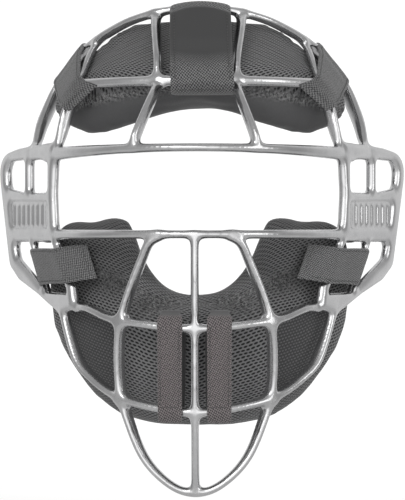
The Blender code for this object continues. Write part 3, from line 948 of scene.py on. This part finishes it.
def add_forehead_pad(material):
    pad = cushion("forehead_cushion", forehead_spine(), forehead_front, forehead_back)
    co = weave_coordinates(pad, lambda x: forehead_front(x, 95))
    across_, height = np.abs(co[:, 0]), co[:, 2]
    above = height - FOREHEAD_SEAM + 0.0016 * co[:, 0] ** 2
    in_front = soft_step(82 + 0.1 * across_ - co[:, 1], 3)
    folds = 0.35 * noise_wave(co, 3, 30) + 0.2 * noise_wave(co, 4, 11)
    frayed = 0.5 * bell(above - 3.5, 3) * in_front * noise_wave(co, 8, 4)
    displace(pad, (folds - 1.3 * bell(above, 1.6) * in_front + frayed) * MM)
    end = np.clip((across_ - 56) / 14, 0, 1)
    dress(pad, material, "forehead_pad", {
        "fine": np.zeros(len(co)),
        "knit": soft_step(-above, 1.0),
        "frayed": bell(above - 2.2, 2.4) * in_front,
        "tone": 0.85 + 0.15 * in_front,
        "turned": 0.9 * np.clip((height - 88) / 15, -1, 1) * (1 - end),
        "wrapped": 0.9 * end * np.sign(co[:, 0]),
    })


def add_chin_pad(material):
    chin = cushion("chin_cushion", chin_spine(), chin_front, chin_back)
    co = weave_coordinates(chin, lambda x: chin_front(x, -40))
    across_, height = np.abs(co[:, 0]), co[:, 2]
    in_front = soft_step(36 + 46 * (across_ / 80) ** 1.8 - co[:, 1], 3)
    folds = 0.3 * noise_wave(co, 5, 28) + 0.2 * noise_wave(co, 6, 10)
    seam = line_distance(across_, height, np.array(CHIN_SEAM, float))
    # puckers: raised folds in the cover, which the stored tone also darkens as painted shade in the folds
    puckered = np.zeros(len(co))
    for x, level, wide, high in PUCKERS:
        puckered += np.exp(-(((across_ - x) / wide) ** 2 + ((height - level) / high) ** 2))
    puckered *= in_front
    folds = folds + puckered * 0.9 * noise_wave(co, 7, 5.5) - 1.2 * bell(seam, 1.5) * in_front
    displace(chin, folds * MM)
    inside = -polygon_distance(across_, height, np.array(SIDE_PANEL, float))
    cheeks = soft_step(across_ - 36, 8) * soft_step(height + 24, 16)
    lining = soft_step(height + 24 - 0.35 * across_, 4) * soft_step(40 - across_, 12)
    rim = soft_step(across_ - 38, 8) * soft_step(-height - 40, 20)
    tone = (1.1 - 0.44 * np.clip(cheeks + lining, 0, 1) - 0.2 * rim) * (0.8 + 0.2 * in_front)
    end = np.clip((across_ - 60) / 14, 0, 1) * np.clip((height + 70) / 20, 0, 1)
    dress(chin, material, "chin_pad", {
        "fine": soft_step(inside, 1.5) * in_front,
        "knit": np.zeros(len(co)),
        "frayed": np.clip(puckered + 0.9 * bell(seam, 1.3) * in_front, 0, 1),
        # painted shade: the cloth in the puckers is darkened by up to 30 percent, as shade in their folds
        "tone": tone * (1 - 0.3 * np.clip(puckered, 0, 1)),
        "turned": 0.9 * np.clip((height + 55) / 25, -1, 1) * (1 - end),
        "wrapped": 0.9 * end * np.sign(co[:, 0]),
    })


# ---------------------------------------------------------------- tabs

STRAP_STEP = 0.9
ROUNDING_PASSES = 8
POINTS_ACROSS = 25
# rows of points near a strap's end, where its thickness rolls off
END_ROWS = (0, 0.12, 0.35, 0.75, 1.3)
# (share along a stitch, share of its radius, how far it is raised) of its rings of points
STITCH_RINGS = ((0.0, 0.35, -0.05), (0.2, 1.0, 0.03), (0.8, 1.0, 0.03), (1.0, 0.35, -0.05))
STITCH_AROUND = 6
BACK, UP = np.array((0, 1.0, 0)), np.array((0, 0, 1.0))


def unit(vector):
    return vector / np.linalg.norm(vector)


def arc(centre, radii, start, end, back, up, count=14):
    """Points round a centre, from the angle start to the angle end, counted from back towards up."""
    turns = np.radians(np.linspace(start, end, count))[:, None]
    return centre + radii[0] * np.cos(turns) * back + radii[1] * np.sin(turns) * up


def strap_edges(left, right):
    """Both edges of a strap, with the same count of evenly spaced, softly rounded points."""
    left, right = np.array(left, float), np.array(right, float)
    middle = (left + right) / 2
    run = np.concatenate([[0], np.cumsum(np.linalg.norm(np.diff(middle, axis=0), axis=1))])
    steps = np.linspace(0, run[-1], int(run[-1] / STRAP_STEP) + 1)
    edges = []
    for edge in (left, right):
        dense = along_rows(steps, run, edge).T
        for _ in range(ROUNDING_PASSES):
            dense[1:-1] = dense[1:-1] / 2 + (dense[:-2] + dense[2:]) / 4
        edges.append(dense)
    return edges[0], edges[1], steps


def along_rows(along, steps, rows):
    """The rows' coordinates at a length along."""
    return np.array([np.interp(along, steps, rows[:, k]) for k in range(3)])


def flat(share, along):
    return 0.0


def rise(value, sharpness):
    """From 0 to 1 as the value passes 0."""
    return 1 / (1 + math.exp(-value * sharpness))


def hump(value, width):
    """1 at 0, falling away over about a width."""
    return math.exp(-(value / width) ** 2)


def wave(value, length):
    return math.sin(value * 2 * math.pi / length)


def sag(vector, middle, width):
    """A strap's shape that moves its middle line by a vector near a length along it."""
    return lambda share, along: np.array(vector) * hump(along - middle, width) * (1 - (2 * share - 1) ** 2)


class Strap:
    """A band between two edge lines, thickened away from them, with rounded edges and stitched details."""

    def __init__(self, left, right, thickness):
        self.left, self.right, self.steps = strap_edges(left, right)
        self.thickness = thickness
        self.length = self.steps[-1]
        forward = np.gradient((self.left + self.right) / 2, axis=0)
        normals = np.cross(forward, self.right - self.left)
        self.normals = normals / np.linalg.norm(normals, axis=1, keepdims=True)
        self.points, self.faces = [], []
        # for the fabric: (across, along, 1 on thread) in millimetres, and the share of plain cloth
        self.marks, self.plain = [], []

    def at(self, along, share):
        """The inner face's point and normal at a length along and a share (0 left, 1 right) across."""
        lines = (self.left, self.right, self.normals)
        left, right, normal = (along_rows(along, self.steps, line) for line in lines)
        return left * (1 - share) + right * share, normal

    def band(self, shape, lift, plain):
        """The band: shape moves a point, lift raises its outer face, and plain marks the smooth cloth."""
        shares = np.sin(np.linspace(-1, 1, POINTS_ACROSS) * math.pi / 2) / 2 + 0.5
        ends = np.array(END_ROWS)
        alongs = np.unique(np.concatenate([ends, self.steps[2:-2], self.length - ends]))
        for along in alongs:
            near_end = min(along, self.length - along, END_ROWS[-1]) / END_ROWS[-1]
            roll = math.sqrt(max(0.0, 1 - (1 - near_end) ** 2)) * 0.96 + 0.04
            width = np.linalg.norm(self.at(along, 0)[0] - self.at(along, 1)[0])
            outer, inner = [], []
            for share in shares:
                point, normal = self.at(along, share)
                fullness = max(0.04, (1 - abs(2 * share - 1) ** 14) ** 0.5) * roll
                middle = point + normal * self.thickness / 2 + shape(share, along)
                half = self.thickness / 2 * fullness
                outer.append(middle + normal * (half + lift(share, along) * fullness))
                inner.append(middle - normal * half)
            self.points += outer + inner[::-1]
            for share in (*shares, *shares[::-1]):
                self.marks.append(((share - 0.5) * width, along, 0))
                self.plain.append(plain(share, along))
        self.faces += tube_faces(len(alongs), 2 * len(shares))
        self.cloth_faces = len(self.faces)

    def stitch(self, start, end, pitch=2.2, length=1.5, radius=0.28, raised=0.05):
        """A row of thread stitches on the outer face between two (share, along) places."""
        a, b = self.at(start[1], start[0])[0], self.at(end[1], end[0])[0]
        run = max(np.linalg.norm(a - b), abs(end[1] - start[1]))
        for i in range(int(run / pitch)):
            ends = []
            for shift in (-length / 2, length / 2):
                part = ((i + 0.5) * pitch + shift) / run
                share = start[0] + (end[0] - start[0]) * part
                along = start[1] + (end[1] - start[1]) * part
                point, normal = self.at(along, share)
                ends.append((point + normal * (self.thickness + raised), normal))
            self.capsule(ends, radius)

    def capsule(self, ends, radius):
        """One stitch, as a short rounded rod."""
        (a, up), (b, _) = ends
        side = np.cross(unit(b - a), up)
        base = len(self.points)
        for part, swell, sink in STITCH_RINGS:
            for k in range(STITCH_AROUND):
                turn = 2 * math.pi * k / STITCH_AROUND
                off = (side * math.cos(turn) + up * math.sin(turn)) * radius * swell
                self.points.append(a + (b - a) * part + off + up * sink)
                self.marks.append((0, 0, 1))
                self.plain.append(0)
        self.faces += tube_faces(len(STITCH_RINGS), STITCH_AROUND, base)

    def seams(self, inset, start, end, cross, **style):
        """A row of stitches up each edge and one across, with the given share of the width outside them."""
        for share in (inset, 1 - inset):
            self.stitch((share, start), (share, end), **style)
        self.stitch((inset, cross), (1 - inset, cross), **style)

    def piece(self, name, looks):
        cloth, thread = looks
        mesh = closed_mesh(name, self.points, self.faces)
        mesh.materials.append(cloth)
        mesh.materials.append(thread)
        slots = np.zeros(len(self.faces), np.int32)
        slots[self.cloth_faces:] = 1
        mesh.polygons.foreach_set("material_index", slots)
        obj = linked(name, mesh)
        store(obj, "weave", self.marks)
        store(obj, "fine", self.plain)
        mesh.shade_smooth()
        return obj


def attach(obj, name):
    """A tab's shape is fixed in the frame, and it stands for both of its frame pieces."""
    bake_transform(obj)
    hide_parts(f"{name}_root", f"{name}_flap")


def beside(path, axis, halves):
    """Edge lines at half a width to each side of a path's points."""
    path, axis = np.array(path, float), np.array(axis, float)
    halves = np.interp(np.linspace(0, 1, len(path)), np.linspace(0, 1, len(halves)), halves)[:, None]
    return path - axis * halves, path + axis * halves


def mirrored(left, right, thickness):
    """(side, sign, strap) for a strap of the mask's right side and for its mirror image."""
    for side, sign in SIDES:
        edges = [np.array(edge) * (sign, 1, 1) for edge in (left, right)]
        yield side, sign, Strap(*edges[::sign], thickness)


# the middle of the centre tab's fold over the crown bar, in millimetres
CENTRE_TAB_FOLD = np.array((0.9, 62.3, 128.0))


def centre_tab(looks):
    path = [(0.8, 76.2, 111), (0.8, 78.4, 120.8), *arc(CENTRE_TAB_FOLD, (4.5, 2.9), 15, 150, BACK, UP)]
    path += [(1.8, 42, 109.6), (2.7, 27.6, 96), (2.9, 25.2, 92), (3.1, 25.2, 87), (3.2, 28.3, 83.6)]
    path += [(3.2, 33.4, 82.2)]
    band = Strap(*beside(path, (1, 0, 0), [15.4, 15.7, 15.9, 16.2, 16.7]), 1.8)
    fold = 29.0
    low = band.length - 9

    def arch(c):
        """How far along the plain cloth starts, below the ribbed top."""
        return fold + 6.5 + 3.4 * c * c

    def shape(share, along):
        c = 2 * share - 1
        over = hump(along - fold - 2, 9)
        bulge = hump(along - low - 1.0 + 2.6 * hump(c - 0.05, 0.45), 2.2)
        waist = hump(along - low + 9.5, 6) * (1 - 0.5 * c * c)
        return np.array((0, -1.5 * bulge + 2.4 * waist, -2.2 * c * c * over + 0.5 * bulge))

    def lift(share, along):
        edge = arch(2 * share - 1)
        ribs = 0.16 * wave(along, 1.9) if fold - 4 < along < edge else 0.0
        step = 0.3 * rise(along - edge, 3) * rise(low - 9 - along, 1.2)
        return ribs + step + 0.3 * rise(along - low - 2.6, 3)

    def plain(share, along):
        c = 2 * share - 1
        above_weave = (low - 7 - 3 * c * c - along) / 11
        return float(np.clip((along - arch(c)) / 0.8, 0, 1) * np.clip(above_weave, 0, 1))

    band.band(shape, lift, plain)
    for share in (0.07, 0.93):
        band.stitch((share, fold + 12), (share, low - 2), raised=0.25)
    band.stitch((0.07, low + 2.6), (0.93, low + 2.6), raised=0.3)
    obj = band.piece("forehead_centre_strap", looks)
    attach(obj, "forehead_centre_tab")


def chin_tabs(looks):
    for side, sign in SIDES:
        x = sign * 12.6
        path = [(x, 19.0, -33.2), (x, 10, -32.6), *arc((x, 2.3, -39.4), (4.7, 4.9), 75, 178, BACK, UP)]
        path += [(x, -1.9, -50), (x, 0.6, -78), (x, 0.8, -83), (x, 3, -86.4), (x, 8, -85.8), (x, 12.4, -84.4)]
        band = Strap(*beside(path, (1, 0, 0), [4.4, 5.6, 6.5, 6.4, 6.4, 6.3, 6.1, 5.4]), 2.0)

        def shape(share, along):
            return np.array((0, 0.25 * math.sin(along / 9 + 1.5 * sign) * (2 * share - 1), 0))

        def lift(share, along):
            return 0.08 * wave(along, 1.3) + 0.3 * rise(along - band.length + 15, 4)

        band.band(shape, lift, lambda share, along: float(np.clip((19 - along) / 1.5, 0, 1)))
        band.seams(0.12, 24, band.length - 18, band.length - 17, pitch=2.0, length=1.3, radius=0.22)
        obj = band.piece(f"chin_strap_{side}", looks)
        attach(obj, f"chin_tab_{side}")


def chin_loops(looks):
    """The narrow strips that each chin tab closes on, seen beside the centre bar."""
    for side, sign in SIDES:
        path = [(8.6, 16.5, -41), (8.4, 13.6, -46), (7.6, 13.0, -62), (7.9, 13.6, -80.5)]
        path = np.array(path) * (sign, 1, 1)
        band = Strap(*beside(path, (1, 0, 0), [3.6, 3.4, 2.6, 2.4]), 1.2)
        band.band(lambda share, along: np.zeros(3), flat, lambda share, along: 1.0)
        band.stitch((0.2, 3), (0.2, band.length - 3), radius=0.2)
        obj = band.piece(f"chin_loop_{side}", looks)
        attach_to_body(obj, "mask")


SIDE_FOLD_CENTRE = (68.7, 98.6, 99.0)
# the flap's upper and lower edge lines after the fold
SIDE_UPPER = [(63.6, 80, 107), (62.8, 66, 99.5), (61.8, 52.5, 91.8), (57.5, 47.5, 87.8), (52.5, 46, 86)]
SIDE_LOWER = [(78.8, 90, 87.6), (76.2, 74, 82.8), (74, 60, 78), (71.2, 50, 74.5), (67.4, 47.2, 72.8)]


def side_tabs(looks):
    axis = unit(np.array((17.0, 7.0, -21.0)))
    back = unit(BACK - axis * (axis @ BACK))
    out = np.cross(axis, back)
    out *= np.sign(out[0])
    root = np.vstack([(61.5, 98.5, 93.5), arc(SIDE_FOLD_CENTRE, (6.4, 4.2), 10, 150, back, out)])
    upper = np.vstack([root - axis * 14.2, SIDE_UPPER])
    lower = np.vstack([root + axis * 13.2, SIDE_LOWER])
    for side, sign, band in mirrored(upper, lower, 1.9):
        ribs = lambda share, along: 0.09 * wave((share - 0.5) * 26, 1.5)
        band.band(sag((0.5 * sign, -0.6, -0.9), 34, 7), ribs, flat)
        band.seams(0.08, 22, band.length - 8, band.length - 4, length=1.4, radius=0.22)
        obj = band.piece(f"forehead_side_strap_{side}", looks)
        attach(obj, f"forehead_side_tab_{side}")


def ear_point(u, v, off):
    """A point on the ear guard's plane, in millimetres along it, up it and out of it, on the mask's right."""
    return np.array((
        FRONT_POST_X + u * ALONG[0] + off * ALONG[1],
        FRONT_POST_DEPTH + u * ALONG[1] - off * ALONG[0],
        v,
    ))


def cheek_tabs(looks):
    axis = -unit(ear_point(16.4, 25.3, 0) - ear_point(0, 0, 0))
    path = [(86.0, 86.0, -10.0)]
    fold = ((18.2, -3.8), (17.4, -2), (17.0, 1.2), (16.2, 2.8), (14.6, 3.3))
    path += [ear_point(u, -9, off) for u, off in fold]
    path += [ear_point(8, -8.6, 3.3), ear_point(0, -8.4, 3.4), ear_point(-14, -8.4, 3.3)]
    path += [(61.5, 38.3, -7.0), (55.0, 38.2, -6.4)]
    for side, sign, band in mirrored(*beside(path, axis, [10.2, 11.2, 11.4, 11.4, 11.2, 10.9, 10.4]), 2.0):
        weave = lambda share, along: 0.07 * wave((share - 0.5) * 20, 1.3) + 0.05 * wave(along, 1.3)
        band.band(sag((-0.7 * sign, -0.5, 0), 42, 9), weave, flat)
        band.seams(0.08, 24, band.length - 6, band.length - 3, length=1.4, radius=0.2)
        obj = band.piece(f"cheek_strap_{side}", looks)
        attach(obj, f"cheek_tab_{side}")


# ---------------------------------------------------------------- materials

MESH_CLOTH, MESH_HOLE = grey(0.26, 0.263), grey(0.02, 0.021)
CLOSE_CLOTH, CLOSE_STITCH = grey(0.068, 0.07), grey(0.17, 0.173)
KNIT_CLOTH = grey(0.098, 0.1)
WISP_DARK, WISP_LIGHT = grey(0.02, 0.021), grey(0.42)
PAD_SHADER = {"Roughness": 0.8, "Sheen Weight": 0.25, "Sheen Roughness": 0.4}
WEB_SHADER = {"Roughness": 0.78, "Sheen Weight": 0.3, "Sheen Roughness": 0.45}
# (across, up) in millimetres: the distance between ovals, and an oval's half size
HOLE_PITCH, HOLE_SIZE = (2.9, 1.6), (1.4, 0.6)
STITCH_PITCH, STITCH_SIZE = (2.0, 1.5), (0.75, 0.42)


def cast_metal():
    """Satin cast alloy: faint blotches in tone and gloss, and the fine grain of a tumbled casting."""
    made, nodes, shader = new_material("cast_alloy", {"Metallic": 1.0})
    place = nodes.place()
    blotch = nodes.noise(place, 60, 4)
    tone = nodes.ramp(blotch, [(0.3, grey(0.66, 0.668)), (0.7, grey(0.79, 0.795))])
    grain = nodes.noise(place, 900)
    nodes.put(shader.inputs["Base Color"], tone)
    nodes.put(shader.inputs["Roughness"], nodes.mapped(blotch, {"To Min": 0.18, "To Max": 0.28}))
    nodes.put(shader.inputs["Normal"], nodes.bump(grain, 0.06, 0.0004))
    return made


def dots(nodes, across, up, pitch, size):
    """Staggered rows of ovals: 1 at an oval's middle, falling to 0 at its edge and below 0 outside it."""
    run = nodes.run
    row = run("DIVIDE", up, pitch[1])
    number = run("FLOOR", run("ADD", row, 0.5))
    odd = run("MULTIPLY", run("ABSOLUTE", run("MODULO", number, 2.0)), 0.5)
    column = run("ADD", run("DIVIDE", across, pitch[0]), odd)
    left = run("SUBTRACT", column, run("FLOOR", run("ADD", column, 0.5)))
    high = run("SUBTRACT", row, number)
    x = run("DIVIDE", run("MULTIPLY", left, pitch[0]), size[0])
    y = run("DIVIDE", run("MULTIPLY", high, pitch[1]), size[1])
    return run("SUBTRACT", 1.0, run("ADD", run("MULTIPLY", x, x), run("MULTIPLY", y, y)))


def weave_parts(nodes):
    """The place on the fabric that the mesh holds at each point, and its three numbers."""
    place = nodes.stored("weave", "Vector")
    parts = nodes.add("SeparateXYZ", {"Vector": place}).outputs
    return place, parts["X"], parts["Y"], parts["Z"]


def pad_fabric():
    """Spacer mesh with open ovals, turning to a close knit or frayed loops where the stored marks say so."""
    made, nodes, shader = new_material("pad_mesh", PAD_SHADER)
    run, mix = nodes.run, nodes.mix
    place, along, depth, height = weave_parts(nodes)
    fine, knit = nodes.stored("fine"), nodes.stored("knit")
    shift = run("MULTIPLY", run("SUBTRACT", nodes.noise(place, 0.06), 0.5), 2.0)
    up = run("ADD", run("ADD", height, run("MULTIPLY", depth, nodes.stored("turned"))), shift)
    up = run("SUBTRACT", up, run("MULTIPLY", run("ABSOLUTE", along), 0.28))
    aside = run("ADD", run("ADD", along, run("MULTIPLY", depth, nodes.stored("wrapped"))), shift)
    hole = nodes.clamped(run("MULTIPLY", dots(nodes, aside, up, HOLE_PITCH, HOLE_SIZE), 1.8))
    stitch = nodes.clamped(run("MULTIPLY", dots(nodes, aside, up, STITCH_PITCH, STITCH_SIZE), 2.0))
    cloth = mix(fine, mix(hole, MESH_CLOTH, MESH_HOLE), mix(stitch, CLOSE_CLOTH, CLOSE_STITCH))
    cloth = mix(knit, cloth, KNIT_CLOTH)
    fibre = nodes.noise(nodes.place(), 800, 5, 0.8)
    strand = nodes.clamped(run("ADD", run("MULTIPLY", run("SUBTRACT", fibre, 0.5), 6.0), 0.34))
    frayed = run("MULTIPLY", nodes.stored("frayed"), 0.85)
    cloth = mix(frayed, cloth, mix(strand, WISP_DARK, WISP_LIGHT))
    thread = nodes.noise(place, 2.4, 3)
    # the stored tone scales the colour; on the chin pad it holds painted shade in the puckers
    shade = run("MULTIPLY", run("ADD", run("MULTIPLY", thread, 0.7), 0.65), nodes.stored("tone"))
    nodes.put(shader.inputs["Base Color"], nodes.vector("SCALE", {0: cloth, "Scale": shade}))
    low = run("MULTIPLY", run("MULTIPLY", hole, -1.0), run("SUBTRACT", 1.0, knit))
    relief = mix(fine, low, run("MULTIPLY", stitch, 0.35), "FLOAT")
    relief = run("ADD", relief, run("MULTIPLY", thread, 0.25))
    nodes.put(shader.inputs["Normal"], nodes.bump(relief, 0.9, 0.0006))
    return made


def webbing(name, dark, light, pitch, slant, smooth_tone, speckle):
    """Close weave in two tones on a slant, turning to smooth cloth where the stored mark says so."""
    made, nodes, shader = new_material(name, WEB_SHADER)
    run, mix = nodes.run, nodes.mix
    place, across_, along, _ = weave_parts(nodes)
    plain = nodes.stored("fine")
    shift = run("MULTIPLY", run("SUBTRACT", nodes.noise(place, 0.5), 0.5), 1.4)
    turn = 2 * math.pi / pitch
    first = run("ADD", run("MULTIPLY", across_, slant), run("ADD", along, shift))
    second = run("SUBTRACT", across_, run("MULTIPLY", along, slant))
    cells = run("MULTIPLY", *(run("SINE", run("MULTIPLY", line, turn)) for line in (first, second)))
    thread = nodes.noise(place, 1.7, 4)
    speck = run("MULTIPLY", run("SUBTRACT", thread, 0.5), speckle)
    share = nodes.clamped(run("ADD", run("MULTIPLY", cells, 1.1), run("ADD", speck, 0.5)))
    shade = run("ADD", run("MULTIPLY", thread, 0.24), 0.88)
    smooth = nodes.vector("SCALE", {0: smooth_tone[:3], "Scale": shade})
    nodes.put(shader.inputs["Base Color"], mix(plain, mix(share, dark, light), smooth))
    raised = run("ADD", run("MULTIPLY", cells, 0.5), run("MULTIPLY", thread, 0.6))
    relief = mix(plain, raised, run("MULTIPLY", thread, 0.25), "FLOAT")
    nodes.put(shader.inputs["Normal"], nodes.bump(relief, 0.8, 0.0003))
    return made


# what is made of each webbing, then its name, dark and light tones, pitch, slant, smooth tone and speckle
WEBS = [
    (
        (centre_tab,),
        ("centre_web", grey(0.015, 0.016), grey(0.27, 0.272), 1.6, 0.12, grey(0.055, 0.056), 1.5),
    ),
    ((side_tabs,), ("side_web", grey(0.03, 0.031), grey(0.23, 0.232), 1.75, 0.15, grey(0.1), 2.6)),
    ((cheek_tabs,), ("cheek_web", grey(0.03, 0.031), grey(0.29, 0.292), 1.6, 0.5, grey(0.1), 2.2)),
    (
        (chin_tabs, chin_loops),
        ("chin_web", (0.035, 0.031, 0.032, 1), (0.285, 0.255, 0.258, 1), 1.5, 0.3, grey(0.068, 0.069), 2.6),
    ),
]


def thread_look():
    made, nodes, shader = new_material("stitching", {"Roughness": 0.6})
    twist = nodes.noise(nodes.place(), 900)
    nodes.put(shader.inputs["Base Color"], nodes.mix(twist, grey(0.05), grey(0.13)))
    return made


# ---------------------------------------------------------------- the scene


for old in list(bpy.data.objects):
    bpy.data.objects.remove(old)
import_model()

add_camera()
add_world()
bpy.context.scene.view_settings.view_transform = "Standard"
for light in LIGHTS:
    add_light(*light)
add_stage()

add_cage(cast_metal())

mesh_cloth = pad_fabric()
add_forehead_pad(mesh_cloth)
add_chin_pad(mesh_cloth)

stitching = thread_look()
for add_tab, web in WEBS:
    looks = (webbing(*web), stitching)
    for add in add_tab:
        add(looks)
